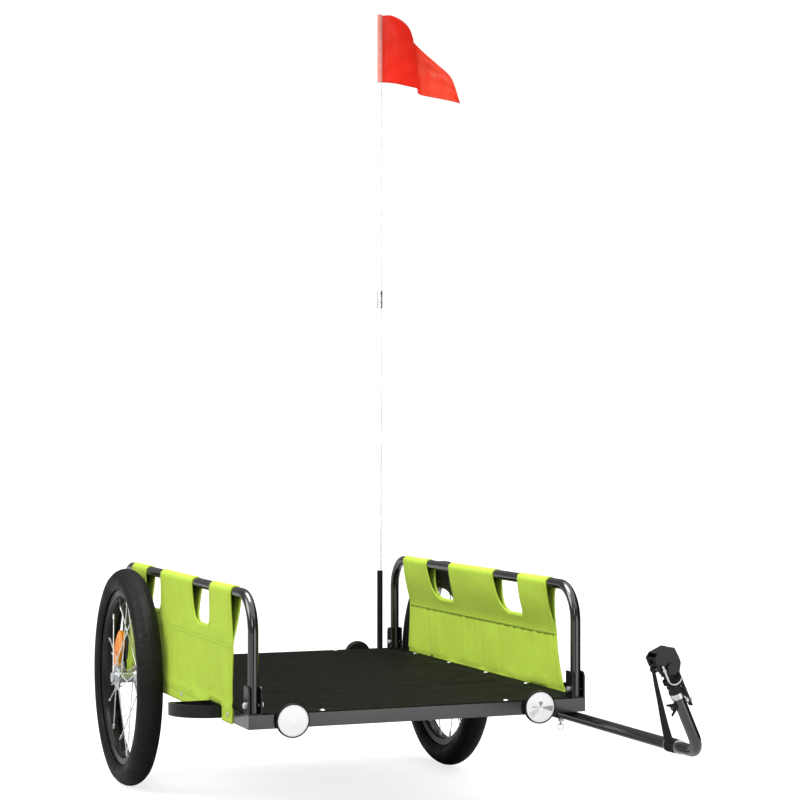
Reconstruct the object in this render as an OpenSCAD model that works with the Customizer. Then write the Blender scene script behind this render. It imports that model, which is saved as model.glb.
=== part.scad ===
// Flat-bed cargo trailer for a bicycle: a low frame on two spoked wheels, side hoops
// with fabric panels, a cranked drawbar with its coupling, and a safety flag.
// Millimetres. +Z up, the front beam faces -Y, the drawbar is on the +X side.

/* [Show] */

/* [Frame] */
width = 576;          // over the side rails
length = 890;         // front face to rear face
top_z = 212;          // top of the frame
tube = 22;            // square tube
wall = 1.6;
cross_y = [300, 590]; // rear of the two cross bars' fronts

/* [Hoops] */
hoop_x = 276.6;
hoop_z = 396;         // centre of the top run
hoop_r = 8.5;
hoop_wall = 1.5;
hoop_bend = 58;
leg_y = [14, 876];
cheek_h = 44;

/* [Wheels] */
wheel_y = 698;
wheel_x = 317;
wheel_r = 200;
tyre_r = 23;
rim_r = 160;
axle_r = 6;
spoke_n = 10;         // on each side of a hub
spoke_r = 1;

/* [Drawbar] */
bar_x = 278;
bar_z = 179;
bar_r = 9;
bar_wall = 1.5;
bar_end = 300;        // rear end of the bar
bar_front = -411.6;   // corner where the two straights meet
bar_bend = 30;
arm_tilt = 24;
pin_y = 74;

/* [Flag] */
pole_x = 255;
pole_y = 905;
pole_r = 4;
pole_top = 1512;

/* [Hidden] */
$fn = 64;
centre = [37, 240, 0];
eps = 0.01;
bed_z = [212.1, 213.5];
field = [258, 28];    // half width of the bed's flat middle, and its margin at each end
bed_screw = [[-277,216],[-277,397],[-277,578],[-277,760],[277,216],[277,397],[277,578],[277,760],
             [-164,12],[150,12],[-164,878],[150,878]];
panel_screw_y = [111, 401, 615, 790];
front_lens_x = [-218.5, 202.5];
rear_lens_x = [-203, 203];
lens_z = 202;
lens_r = 24.8;
guard = [290, 222];   // centre of the quarter-round deflector

// ---- helpers ----
module put() { translate(-centre) children(); }
module right() { children(); }
module left() { mirror([1,0,0]) children(); }
module arm() { translate([bar_x, bar_front, bar_z]) rotate([0,-arm_tilt,0]) children(); }
module along_x(x0, x1, r, y=0, z=0) { translate([x0,y,z]) rotate([0,90,0]) cylinder(h=x1-x0, r=r); }
module along_y(y0, y1, r, x=0, z=0) { translate([x,y0,z]) rotate([-90,0,0]) cylinder(h=y1-y0, r=r); }
module hex_x(x0, x1, r, y=0, z=0) { translate([x0,y,z]) rotate([0,90,0]) cylinder(h=x1-x0, r=r, $fn=6); }
module hex_y(y0, y1, r, x=0, z=0) { translate([x,y0,z]) rotate([-90,0,0]) cylinder(h=y1-y0, r=r, $fn=6); }
// a 2-D outline in (y, z), stood up and given a thickness along X
module in_yz(x0, x1) { translate([x0,0,0]) rotate([90,0,90]) linear_extrude(x1-x0) children(); }
// a 2-D outline in (x, z), given a thickness along Y
module in_xz(y0, y1) { translate([0,y1,0]) rotate([90,0,0]) linear_extrude(y1-y0) children(); }
// a straight rod from p to q
module rod(p, q, r) {
  d = q - p; l = norm(d);
  translate(p) rotate([0, acos(d[2]/l), atan2(d[1], d[0])]) cylinder(h=l, r=r, $fn=16);
}
module box_tube(size, t) {
  difference() { cube(size); translate([t,t,t]) cube([size[0]-2*t, size[1]-2*t, size[2]-2*t]); }
}
// a quarter bend of tube in the Y-Z plane, from angle a to a + 90 as counted from +Y
module bend(a, radius, r, ri) {
  rotate([90,0,90]) rotate([0,0,a])
    rotate_extrude(angle=90) translate([radius,0]) difference() { circle(r); circle(ri); }
}

// ---- frame ----
module screw_holes(z0, z1) { for (p = bed_screw) translate([p[0],p[1],z0]) cylinder(h=z1-z0, r=2.1, $fn=24); }
module beam(lens_x) {
  difference() {
    translate([-width/2,0,top_z-tube]) box_tube([width,tube,tube], wall);
    screw_holes(205, 215);
    for (x = lens_x) along_y(-1, 4, 2.6, x, lens_z);
  }
}
module front_beam() { color([0.09,0.09,0.1]) put() beam(front_lens_x); }
module rear_beam() {
  color([0.09,0.09,0.1]) put() difference() {
    translate([0,length,0]) mirror([0,1,0]) beam(rear_lens_x);
    for (z = [201]) along_y(length-4, length+1, 2.1, pole_x-15, z);
    along_y(length-4, length+1, 2.1, pole_x+15, 201);
  }
}
module rail() {
  difference() {
    translate([width/2-tube,tube,top_z-tube]) box_tube([tube,length-2*tube,tube], wall);
    screw_holes(205, 215);
    along_x(width/2-tube-1, width/2+1, axle_r+0.05, wheel_y, wheel_r);
    for (y = panel_screw_y) along_x(width/2-4, width/2+1, 1.6, y, 201);
  }
}
module right_rail() { color([0.09,0.09,0.1]) put() right() rail(); }
module left_rail() { color([0.09,0.09,0.1]) put() left() rail(); }
module cross_bars() {
  color([0.09,0.09,0.1]) put() for (y = cross_y)
    translate([-width/2+tube, y, top_z-tube]) box_tube([width-2*tube, 20, 20], wall);
}
module bed_field(z0, z1) { translate([-field[0],field[1],z0]) cube([2*field[0],length-2*field[1],z1-z0]); }
// the flat middle of the bed cloth, which carries the load
module bed_sheet() { color([0.05,0.05,0.05]) put() bed_field(bed_z[0], bed_z[1]); }
// its border, which the screws clamp on the frame
module bed_border() {
  color([0.05,0.05,0.05]) put() difference() {
    translate([-width/2+2, 1, bed_z[0]]) cube([width-4, length-2, bed_z[1]-bed_z[0]]);
    bed_field(bed_z[0]-1, bed_z[1]+1);
    for (sx = [-1,1], y = [0, length-30])
      translate([sx > 0 ? width/2-25 : -width/2-5, y-1, bed_z[0]-1]) cube([30, 32, 4]);
    screw_holes(210, 216);
  }
}
module bed_screws() {
  color([0.75,0.75,0.77]) put() for (p = bed_screw) translate([p[0],p[1],0]) {
    translate([0,0,206]) cylinder(h=bed_z[1]+0.05-206, r=2, $fn=24);
    translate([0,0,bed_z[1]+0.05]) intersection() {
      cylinder(h=1.8, r=4.4, $fn=32);
      translate([0,0,-4.6]) sphere(r=6.4, $fn=40);
    }
  }
}

// ---- hoops and their brackets ----
module hoop() {
  y0 = leg_y[0]; y1 = leg_y[1]; foot = top_z + 2.2;
  difference() {
    union() {
      for (y = leg_y) translate([hoop_x,y,foot]) ring(hoop_z-hoop_bend-foot, hoop_r, hoop_r-hoop_wall);
      translate([hoop_x,y0+hoop_bend,hoop_z]) rotate([-90,0,0])
        ring(y1-y0-2*hoop_bend, hoop_r, hoop_r-hoop_wall);
      translate([hoop_x,y0+hoop_bend,hoop_z-hoop_bend]) bend(90, hoop_bend, hoop_r, hoop_r-hoop_wall);
      translate([hoop_x,y1-hoop_bend,hoop_z-hoop_bend]) bend(0, hoop_bend, hoop_r, hoop_r-hoop_wall);
    }
    for (y = leg_y) along_x(hoop_x-12, hoop_x+12, 3.1, y, 226);
  }
}
module ring(h, r, ri) { difference() { cylinder(h=h, r=r); translate([0,0,-1]) cylinder(h=h+2, r=ri); } }
module right_hoop() { color([0.07,0.07,0.08]) put() right() hoop(); }
module left_hoop() { color([0.07,0.07,0.08]) put() left() hoop(); }
module cheek2d() {
  union() {
    square([26, cheek_h-10]);
    translate([10,0]) square([16, cheek_h]);
    translate([10,cheek_h-10]) circle(10);
  }
}
module bracket() {
  difference() {
    union() {
      for (x = [265, 285.2]) in_yz(x, x+2.8) translate([1,top_z]) cheek2d();
      translate([267,1,top_z]) cube([19,26,2]);
    }
    along_x(260, 292, 3.1, leg_y[0], 226);
  }
}
module hoop_brackets() {
  color([0.08,0.08,0.09]) put() for (m = [0,1]) mirror([m,0,0]) {
    bracket();
    translate([0,length,0]) mirror([0,1,0]) bracket();
  }
}
module hoop_bolts() {
  color([0.75,0.76,0.78]) put() for (m = [0,1], y = leg_y) mirror([m,0,0]) {
    along_x(260.8, 293, 3, y, 226);
    along_x(261, 264.95, 4.6, y, 226);
    hex_x(288.05, 292, 4.9, y, 226);
  }
}

// ---- fabric side panels ----
// the cloth goes up outside the rail, over the tube and back down to a seam on the outer layer
module panel_section() {
  over = function(r) [for (a = [0:12:180]) [hoop_x + r*cos(a), hoop_z + r*sin(a)]];
  difference() {
    polygon(concat([[289.4,188],[289.4,214]], over(10), [[286.9,311],[288.2,213],[288.2,188]]));
    polygon(concat(over(8.8), [[286.7,318]]));
  }
}
module notch2d(y0, y1) {
  hull() {
    translate([y0+13,346]) circle(13);
    translate([y1-38,363]) circle(30);
    translate([y0,400]) square([y1-y0,15]);
  }
}
module panel(edge, notches) {
  difference() {
    intersection() {
      translate([0,900,0]) rotate([90,0,0]) linear_extrude(900) panel_section();
      in_yz(250, 300) polygon(edge);
    }
    for (n = notches) in_yz(250, 300) notch2d(n[0], n[1]);
    translate([280,guard[1]-74,180]) cube([20,80,32]);
    along_x(280, 300, 14, wheel_y, wheel_r);
    for (y = panel_screw_y) along_x(280, 300, 1.6, y, 201);
  }
}
module right_panel() {
  color([0.55,0.75,0.12]) put() right()
    panel([[74,187],[112,310],[112,410],[800,410],[814,310],[826,187]], [[233,345],[558,675]]);
}
module left_panel() {
  color([0.55,0.75,0.12]) put() left()
    panel([[88,187],[90,310],[112,410],[788,410],[808,310],[822,187]], [[236,349],[569,682]]);
}
module panel_screws() {
  color([0.75,0.75,0.77]) put() for (m = [0,1], y = panel_screw_y) mirror([m,0,0]) {
    along_x(284.5, 289.6, 1.5, y, 201);
    along_x(289.5, 291.2, 3.6, y, 201);
  }
}

// ---- quarter-round deflectors ----
module deflector() {
  difference() {
    translate([guard[0],guard[1],190]) difference() {
      cylinder(h=21, r=69);
      translate([0,-2.5,-1]) cylinder(h=23, r=66.5);
      translate([-80,0,-1]) cube([160,80,23]);
      translate([-80,-80,-1]) cube([80-1.9,160,23]);
    }
    translate([guard[0]+1.2,guard[1]-66,189]) cube([10,63.5,23]);
  }
  translate([288.05,guard[1]-69,190]) cube([3.2,69,21]);
  translate([288.05,guard[1]-2.5,190]) cube([68,2.5,21]);
}
module right_deflector() { color([0.06,0.06,0.07]) put() right() deflector(); }
module left_deflector() { color([0.06,0.06,0.07]) put() left() deflector(); }

// ---- reflectors, a pair in front and a pair behind ----
module front_pair() { for (x = front_lens_x) translate([x,0,lens_z]) rotate([90,0,0]) children(); }
module rear_pair() { for (x = rear_lens_x) translate([x,length,lens_z]) rotate([-90,0,0]) children(); }
module four() { front_pair() children(); rear_pair() children(); }
module reflector_housings() {
  color([0.05,0.05,0.06]) put() four() translate([0,0,0.05]) difference() {
    rotate_extrude() polygon([[2.6,0],[lens_r-1.5,0],[lens_r+1,1.4],[lens_r+2.2,3.4],[lens_r+2.2,8.6],
      [lens_r+1.6,9.2],[lens_r+0.1,9.2],[lens_r+0.1,5.5],[2.6,3.2]]);
  }
}
module lens() { translate([0,0,5.6]) rotate_extrude() polygon([[0,0],[lens_r,0],[lens_r,2.9],[lens_r-3,3.8],[0,4.4]]); }
module front_lenses() {
  color([0.93,0.94,0.95]) put() front_pair() lens();
}
module rear_lenses() {
  color([0.75,0.05,0.04]) put() rear_pair() lens();
}
module reflector_screws() { color([0.7,0.7,0.72]) put() four() {
  translate([0,0,-4]) cylinder(h=9, r=2.5);
  translate([0,0,3.6]) cylinder(h=1.8, r=5);
} }

// ---- wheels: everything is laid out about the axle, which runs along X ----
module at_wheel() { translate([wheel_x,wheel_y,wheel_r]) rotate([0,90,0]) children(); }
module axle() {
  along_x(258, 345, axle_r, wheel_y, wheel_r);
  hex_x(256, 265.9, 10, wheel_y, wheel_r);
  along_x(288.05, 291.5, 11, wheel_y, wheel_r);
  along_x(342.6, 346.4, 9, wheel_y, wheel_r);
}
module left_axle() { color([0.7,0.71,0.73]) put() left() axle(); }
module right_axle() { color([0.7,0.71,0.73]) put() right() axle(); }
module hub() {
  at_wheel() rotate_extrude() polygon([[6.06,-25],[9.5,-25],[11,-22],[11,-20.5],[24,-19.8],[24,-17.2],[13,-15],[10.5,-10],
    [10.5,10],[13,15],[24,17.2],[24,19.8],[11,20.5],[11,22],[9.5,25],[6.06,25]]);
}
module left_hub() { color([0.8,0.81,0.83]) put() left() hub(); }
module right_hub() { color([0.8,0.81,0.83]) put() right() hub(); }
// a spoke with its nipple, from the hub flange to the rim
module spoke(a, lead, xh, xr) {
  p = [20.5*cos(a), 20.5*sin(a), xh];
  b = a + lead;
  q = [145.6*cos(b), 145.6*sin(b), xr];
  u = (q - p)/norm(q - p);
  union() { rod(p, q, spoke_r); rod(q - 11*u, q, 2); }
}
module spokes() {
  at_wheel() for (s = [-1,1], i = [0:spoke_n/2-1]) {
    a = i*720/spoke_n + (s > 0 ? 0 : 36);
    spoke(a, 66, s*22, s*3.4);
    spoke(a + 36, -66, s*15.2, s*3.4);
  }
}
module left_spokes() { color([0.8,0.81,0.83]) put() left() spokes(); }
module right_spokes() { color([0.8,0.81,0.83]) put() right() spokes(); }
module rim() {
  at_wheel() difference() {
    rotate_extrude($fn=128) polygon([[146,-6],[149,-11.5],[rim_r,-13],[rim_r,-11],[152,-9],[149.5,-4],[149.5,4],[152,9],[rim_r,11],
      [rim_r,13],[149,11.5],[146,6]]);
    rotate([0,0,48]) translate([140,0,0]) rotate([0,90,0]) cylinder(h=25, r=3.1);
  }
}
module left_rim() { color([0.1,0.1,0.11]) put() left() rim(); }
module right_rim() { color([0.1,0.1,0.11]) put() right() rim(); }
module tyre() {
  at_wheel() rotate_extrude($fn=128) difference() {
    translate([wheel_r-tyre_r,0]) difference() { circle(tyre_r); circle(tyre_r-3.6); }
    translate([100,-30]) square([60.2,60]);
    for (y = [-7,7]) translate([wheel_r-1.9,y-0.8]) square([4,1.6]);
  }
}
module left_tyre() { color([0.06,0.06,0.06]) put() left() tyre(); }
module right_tyre() { color([0.06,0.06,0.06]) put() right() tyre(); }
module valve() {
  at_wheel() rotate([0,0,48]) {
    translate([118,0,0]) rotate([0,90,0]) cylinder(h=40, r=3);
    translate([112,0,0]) rotate([0,90,0]) cylinder(h=7, r=2.2);
  }
}
module left_valve() { color([0.08,0.08,0.08]) put() left() valve(); }
module right_valve() { color([0.08,0.08,0.08]) put() right() valve(); }
// a curved reflector that lies against the outer spokes, above and behind the hub
module spoke_reflector() {
  at_wheel() union() {
    rotate([0,0,107]) rotate_extrude(angle=46) translate([50,1.6]) square([41,5.2]);
    for (a = [107,153]) rotate([0,0,a]) translate([70.5,0,1.6]) cylinder(h=5.2, r=20.3);
  }
}
module left_spoke_reflector() { color([0.95,0.5,0.03]) put() left() spoke_reflector(); }
module right_spoke_reflector() { color([0.95,0.5,0.03]) put() right() spoke_reflector(); }

// ---- drawbar ----
module sleeve(y0, y1) {
  difference() {
    union() {
      along_y(y0, y1, 10.5, bar_x, bar_z);
      translate([bar_x-10.2,y0,bar_z]) cube([20,y1-y0,top_z-tube-bar_z]);
    }
    along_y(y0-1, y1+1, bar_r+0.06, bar_x, bar_z);
  }
}
module bar_sleeves() {
  color([0.09,0.09,0.1]) put() {
    difference() {
      sleeve(pin_y-4, pin_y+36);
      translate([bar_x-3.6,pin_y-5,bar_z-15]) cube([7.2,9,12]);
    }
    sleeve(245, 285);
  }
}
module drawbar_tube() {
  color([0.07,0.07,0.08]) put() difference() {
    arm() {
      translate([0,bar_bend,0]) rotate([-90,0,0]) ring(bar_end-bar_front-bar_bend, bar_r, bar_r-bar_wall);
      translate([0,bar_bend,bar_bend]) bend(180, bar_bend, bar_r, bar_r-bar_wall);
      translate([0,0,bar_bend]) ring(91-bar_bend, bar_r, bar_r-bar_wall);
    }
    translate([bar_x,pin_y,bar_z-15]) cylinder(h=30, r=3.1);
    arm() along_x(-12, 12, 2.6, 0, 82);
  }
}
module drawbar_cap() {
  color([0.04,0.04,0.04]) put() {
    along_y(bar_end-12, bar_end+0.05, bar_r-bar_wall, bar_x, bar_z);
    along_y(bar_end+0.05, bar_end+3, bar_r, bar_x, bar_z);
  }
}
module lock_pin() {
  color([0.78,0.79,0.8]) put() translate([bar_x,pin_y,0]) difference() {
    union() {
      translate([0,0,166]) cylinder(h=21.5, r=3);
      translate([0,0,165]) cylinder(h=3.4, r=5);
      translate([-1,-3.5,158]) cube([2,7,8]);
    }
    along_x(-3, 3, 1.7, 0, 161);
  }
}
module lock_ring() {
  color([0.78,0.79,0.8]) put() translate([bar_x,pin_y,161-5.5]) rotate([90,0,0])
    rotate_extrude() translate([5.5,0]) circle(0.8, $fn=16);
}

// ---- coupling on the arm ----
module collar() {
  color([0.85,0.86,0.88]) put() arm() translate([0,0,91.1]) ring(8.2, 10.2, 6.06);
}
module coupler() {
  color([0.05,0.05,0.05]) put() arm() difference() {
    union() {
      translate([0,0,64]) cylinder(h=36, r=6);
      translate([0,0,99.4]) rotate_extrude() polygon([[0,0],[10.8,0],[11,3],[9.4,7],[10.6,11],[9.2,15],[10.2,19],[9,24],[9,34],[0,34]]);
      along_y(-10.5, 10.5, 9.5, 0, 141.7);
      translate([-8,-10.5,128]) cube([16,21,12]);
    }
    along_y(-12, 12, 4.05, 0, 141.7);
    along_x(-12, 12, 2.6, 0, 82);
  }
}
module keeper_plate() {
  color([0.05,0.05,0.06]) put() arm() difference() {
    translate([13,-5,72]) cube([2.4,10,55]);
    along_x(5, 20, 2.6, 0, 82);
  }
}
module coupler_screw() {
  color([0.7,0.71,0.73]) put() arm() {
    along_x(-15, 16, 2.5, 0, 82);
    along_x(15.45, 18.2, 4.5, 0, 82);
    along_x(9.3, 12.95, 4.2, 0, 82);
  }
}
module wing_nut() {
  color([0.04,0.04,0.05]) put() arm() difference() {
    union() {
      along_x(-16, -9.2, 5, 0, 82);
      in_xz(-1.6, 1.6) polygon([[-10,78],[-22,88],[-22,90.5],[-10,87]]);
      in_xz(-1.6, 1.6) polygon([[-10,80],[-20,73],[-20,70.5],[-10,76]]);
    }
    along_x(-17, -8, 2.55, 0, 82);
  }
}
// webbing from the hitch down to the bar: one flat tapered strip and two loops
strap_top = [199.4, -411.6, 307.2];
strap_bottom = [268.2, -331.5, 186];
module strap() {
  w = [5, 7, 9, 12, 15.5];
  p = [strap_top, [213,-396,280], [229,-378,250.5], [248,-355,218], strap_bottom];
  t = [0.95, 0, 0.5];
  pts = [for (i = [0:4]) each [p[i]-[0,w[i],0]-t, p[i]+[0,w[i],0]-t, p[i]+[0,w[i],0]+t, p[i]-[0,w[i],0]+t]];
  color([0.05,0.05,0.05]) put() {
    polyhedron(points=pts, faces=concat([[0,1,2,3],[19,18,17,16]],
      [for (i = [0:3], j = [0:3]) [4*i+j, 4*i+4+j, 4*i+4+(j+1)%4, 4*i+(j+1)%4]]));
    translate([bar_x,-347,bar_z]) rotate([-90,0,0]) ring(31, 11, 9.05);
    arm() translate([0,0,116]) ring(7, 12.8, 11.1);
  }
}
module strap_rings() {
  color([0.8,0.81,0.83]) put() for (y = [-349.4, -315.9]) translate([bar_x,y,bar_z]) rotate([-90,0,0]) ring(2.2, 11.4, 9.05);
}
module hitch_cheek2d() {
  difference() {
    union() {
      polygon([[-18,150],[-18,164],[-10,169],[12,169],[17.5,165.5],[18.8,150],[18.4,141.5],[11,130],[0,131.2],[-9,137]]);
      translate([-12.5,143]) circle(6.5);
      translate([0,141.7]) circle(10.5);
    }
    translate([0,141.7]) circle(4.02);
    translate([-12.5,143]) circle(2.56);
  }
}
module hitch_bracket() {
  color([0.06,0.06,0.07]) put() arm() {
    for (y = [-15,12]) in_xz(y, y+3) hitch_cheek2d();
    difference() {
      translate([-18,-12.5,150]) cube([3,25,14.2]);
      along_x(-20, -14, 5.25, 0, 157.2);
    }
    translate([-10,-12.5,166]) cube([22,25,3]);
  }
}
module hitch_bolt() {
  color([0.75,0.76,0.78]) put() arm() {
    along_y(-18, 18, 4, 0, 141.7);
    along_y(-18.5, -15.05, 6.5, 0, 141.7);
    hex_y(15.05, 19, 7, 0, 141.7);
  }
}
module hitch_pin() {
  color([0.82,0.83,0.85]) put() arm() {
    along_y(-19.5, 19, 2.5, -12.5, 143);
    translate([-12.5,-19.5,126]) cylinder(h=25, r=1.7);
    translate([-1.5,-19.5,128]) rotate([90,0,0]) rotate([0,0,190])
      rotate_extrude(angle=135) translate([11.2,0]) circle(1.1, $fn=16);
  }
}

// ---- safety flag ----
module pole_socket() {
  color([0.05,0.05,0.05]) put() translate([pole_x,pole_y,168]) difference() {
    cylinder(h=203, r=5.8);
    translate([0,0,12]) cylinder(h=200, r=pole_r+0.06);
  }
}
module socket_clips() {
  color([0.05,0.05,0.06]) put() difference() {
    union() {
      translate([pole_x-20,length+0.05,194]) cube([40,3,14]);
      translate([pole_x-7.6,length+1,194]) cube([15.2,14,14]);
      translate([pole_x,pole_y,194]) cylinder(h=14, r=7.8);
    }
    translate([pole_x,pole_y,190]) cylinder(h=22, r=5.82);
    for (s = [-15,15]) along_y(length-2, length+6, 2.1, pole_x+s, 201);
  }
}
module clip_screws() {
  color([0.75,0.75,0.77]) put() for (s = [-15,15]) {
    along_y(length-6, length+3.2, 2, pole_x+s, 201);
    along_y(length+3.1, length+5.2, 3.8, pole_x+s, 201);
  }
}
module lower_pole() { color([0.93,0.93,0.92]) put() translate([pole_x,pole_y,181]) cylinder(h=744, r=pole_r); }
module ferrule() {
  color([0.85,0.86,0.87]) put() translate([pole_x,pole_y,909]) difference() {
    cylinder(h=36, r=5.2);
    translate([0,0,-1]) cylinder(h=17.1, r=pole_r+0.02);
    translate([0,0,16.6]) cylinder(h=25, r=pole_r+0.06);
  }
}
module upper_pole() { color([0.93,0.93,0.92]) put() translate([pole_x,pole_y,926]) cylinder(h=pole_top-926, r=pole_r-0.0); }
module flag() {
  color([0.95,0.16,0.08]) put() difference() {
    union() {
      translate([pole_x,pole_y,1372]) cylinder(h=pole_top-1-1372, r=5.2);
      in_xz(pole_y-0.8, pole_y+0.8)
        polygon([[pole_x,1373],[pole_x,1510],[pole_x+54,1493],[pole_x+70,1468],[pole_x+98,1440],[pole_x+154,1397],
          [pole_x+178,1340],[pole_x+90,1354],[pole_x+84,1365]]);
    }
    translate([pole_x,pole_y,1370]) cylinder(h=150, r=pole_r+0.05);
  }
}

front_beam();
rear_beam();
left_rail();
right_rail();
cross_bars();
bed_sheet();
bed_border();
bed_screws();
left_hoop();
right_hoop();
hoop_brackets();
hoop_bolts();
left_panel();
right_panel();
panel_screws();
left_deflector();
right_deflector();
reflector_housings();
front_lenses();
rear_lenses();
reflector_screws();
left_axle();
right_axle();
left_hub();
right_hub();
left_spokes();
right_spokes();
left_rim();
right_rim();
left_tyre();
right_tyre();
left_valve();
right_valve();
left_spoke_reflector();
right_spoke_reflector();
bar_sleeves();
drawbar_tube();
drawbar_cap();
lock_pin();
lock_ring();
collar();
coupler();
keeper_plate();
coupler_screw();
wing_nut();
strap();
strap_rings();
hitch_bracket();
hitch_bolt();
hitch_pin();
pole_socket();
socket_clips();
clip_screws();
lower_pole();
ferrule();
upper_pole();
flag();
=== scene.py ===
"""Looks of a flat-bed bicycle cargo trailer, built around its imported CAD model. Metres, row frame."""
import math

import bpy
import numpy as np
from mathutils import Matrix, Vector
from mathutils.bvhtree import BVHTree
from mathutils.geometry import barycentric_transform, delaunay_2d_cdt


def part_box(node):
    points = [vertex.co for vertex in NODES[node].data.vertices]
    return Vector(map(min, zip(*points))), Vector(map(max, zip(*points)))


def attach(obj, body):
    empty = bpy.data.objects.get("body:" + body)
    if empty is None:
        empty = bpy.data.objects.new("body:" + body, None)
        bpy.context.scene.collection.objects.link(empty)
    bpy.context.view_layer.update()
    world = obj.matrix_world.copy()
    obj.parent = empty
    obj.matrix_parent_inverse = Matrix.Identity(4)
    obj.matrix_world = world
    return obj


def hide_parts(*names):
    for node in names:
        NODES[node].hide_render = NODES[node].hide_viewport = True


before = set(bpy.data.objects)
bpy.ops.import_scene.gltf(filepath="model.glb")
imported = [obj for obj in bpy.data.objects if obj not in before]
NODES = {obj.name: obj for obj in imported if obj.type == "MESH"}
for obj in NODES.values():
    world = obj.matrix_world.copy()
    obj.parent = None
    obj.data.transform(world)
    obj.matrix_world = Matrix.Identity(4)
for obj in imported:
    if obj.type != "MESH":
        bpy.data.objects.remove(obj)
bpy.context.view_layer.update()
MM = 0.001
BEAM_LO, BEAM_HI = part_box("front_beam")
ORIGIN = Vector(((BEAM_LO.x + BEAM_HI.x) / 2, BEAM_LO.y, 0.0))    # under the middle of the front beam's face


def at(x, y, z):
    """A point given in millimetres from the middle of the front beam's face, at ground level."""
    return Vector((ORIGIN.x + x * MM, ORIGIN.y + y * MM, z * MM))


# ---------------------------------------------------------------- camera, light, floor
CAMERA_PLACE, CAMERA_TURN = (-1.21861, -3.30457, 0.63733), -22.6828    # metres, degrees
CAMERA_LENS, CAMERA_SHIFT = 92.43, (-0.09986, 0.05077)
# how bright the studio is to diffuse, glossy and camera rays
WORLD_SOFT, WORLD_GLOSS, WORLD_SEEN = 0.64, 0.2, 1.05
FLOOR_GLOW = 0.78    # lifts the floor that is seen towards white, so only the shadows stay grey
FLOOR_HALF = 60.0
# area lights: place, target, size (m), power (W)
SOFTBOXES = {"left_softbox": ((-4.2, 0.6, 3.0), (0, 0, 0.3), (3.2, 2.6), 128),
             "front_softbox": ((-2.2, -5.0, 2.6), (0, 0, 0.5), (3.0, 2.0), 62),
             "bed_softbox": ((-0.15, 0.05, 1.3), (0.3, 0.05, 0.3), (0.6, 0.6), 11)}
SUN_POWER, SUN_SPREAD, SUN_TILT = 1.9, 100, (8, 6, 0)
# cards seen only in glossy surfaces: start, end, heights (m), shade, glow
CARDS = {"front_card": ((-0.90, -2.05), (0.06, -2.15), (0.001, 2.0), 0.01, 0.0),
         "right_card": ((1.55, -1.35), (1.75, 1.6), (0.001, 2.0), 0.01, 0.0),
         "white_card": ((-0.12, -1.9), (1.15, -1.9), (0.001, 0.6), 0.0, 1.85)}


def make_camera():
    data = bpy.data.cameras.new("camera")
    data.sensor_width, data.lens = 36.0, CAMERA_LENS
    data.shift_x, data.shift_y = CAMERA_SHIFT
    data.clip_end = 200.0
    cam = bpy.data.objects.new("camera", data)
    cam.location = CAMERA_PLACE
    cam.rotation_euler = (math.radians(90), 0, math.radians(CAMERA_TURN))
    bpy.context.scene.collection.objects.link(cam)
    bpy.context.scene.camera = cam


def area_light(name, place, target, size, power):
    data = bpy.data.lights.new(name, "AREA")
    data.shape, data.size, data.size_y, data.energy = "RECTANGLE", size[0], size[1], power
    lamp = bpy.data.objects.new(name, data)
    lamp.location = place
    lamp.rotation_euler = (Vector(target) - Vector(place)).to_track_quat("-Z", "Y").to_euler()
    bpy.context.scene.collection.objects.link(lamp)


def card(name, start, end, heights, shade, glow):
    """A studio card standing beside the set, which shows only as a stripe in glossy surfaces."""
    (x0, y0), (x1, y1), (z0, z1) = start, end, heights
    mesh = bpy.data.meshes.new(name)
    mesh.from_pydata([(x0, y0, z0), (x1, y1, z0), (x1, y1, z1), (x0, y0, z1)], [], [(0, 1, 2, 3)])
    obj = bpy.data.objects.new(name, mesh)
    bpy.context.scene.collection.objects.link(obj)
    look = Look(name, (shade, shade, shade), 1.0, spec=0.0)
    look.shader.inputs["Emission Color"].default_value = (1, 1, 1, 1)
    look.shader.inputs["Emission Strength"].default_value = glow
    mesh.materials.append(look.mat)
    obj.visible_camera = obj.visible_diffuse = obj.visible_shadow = obj.visible_transmission = False


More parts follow.
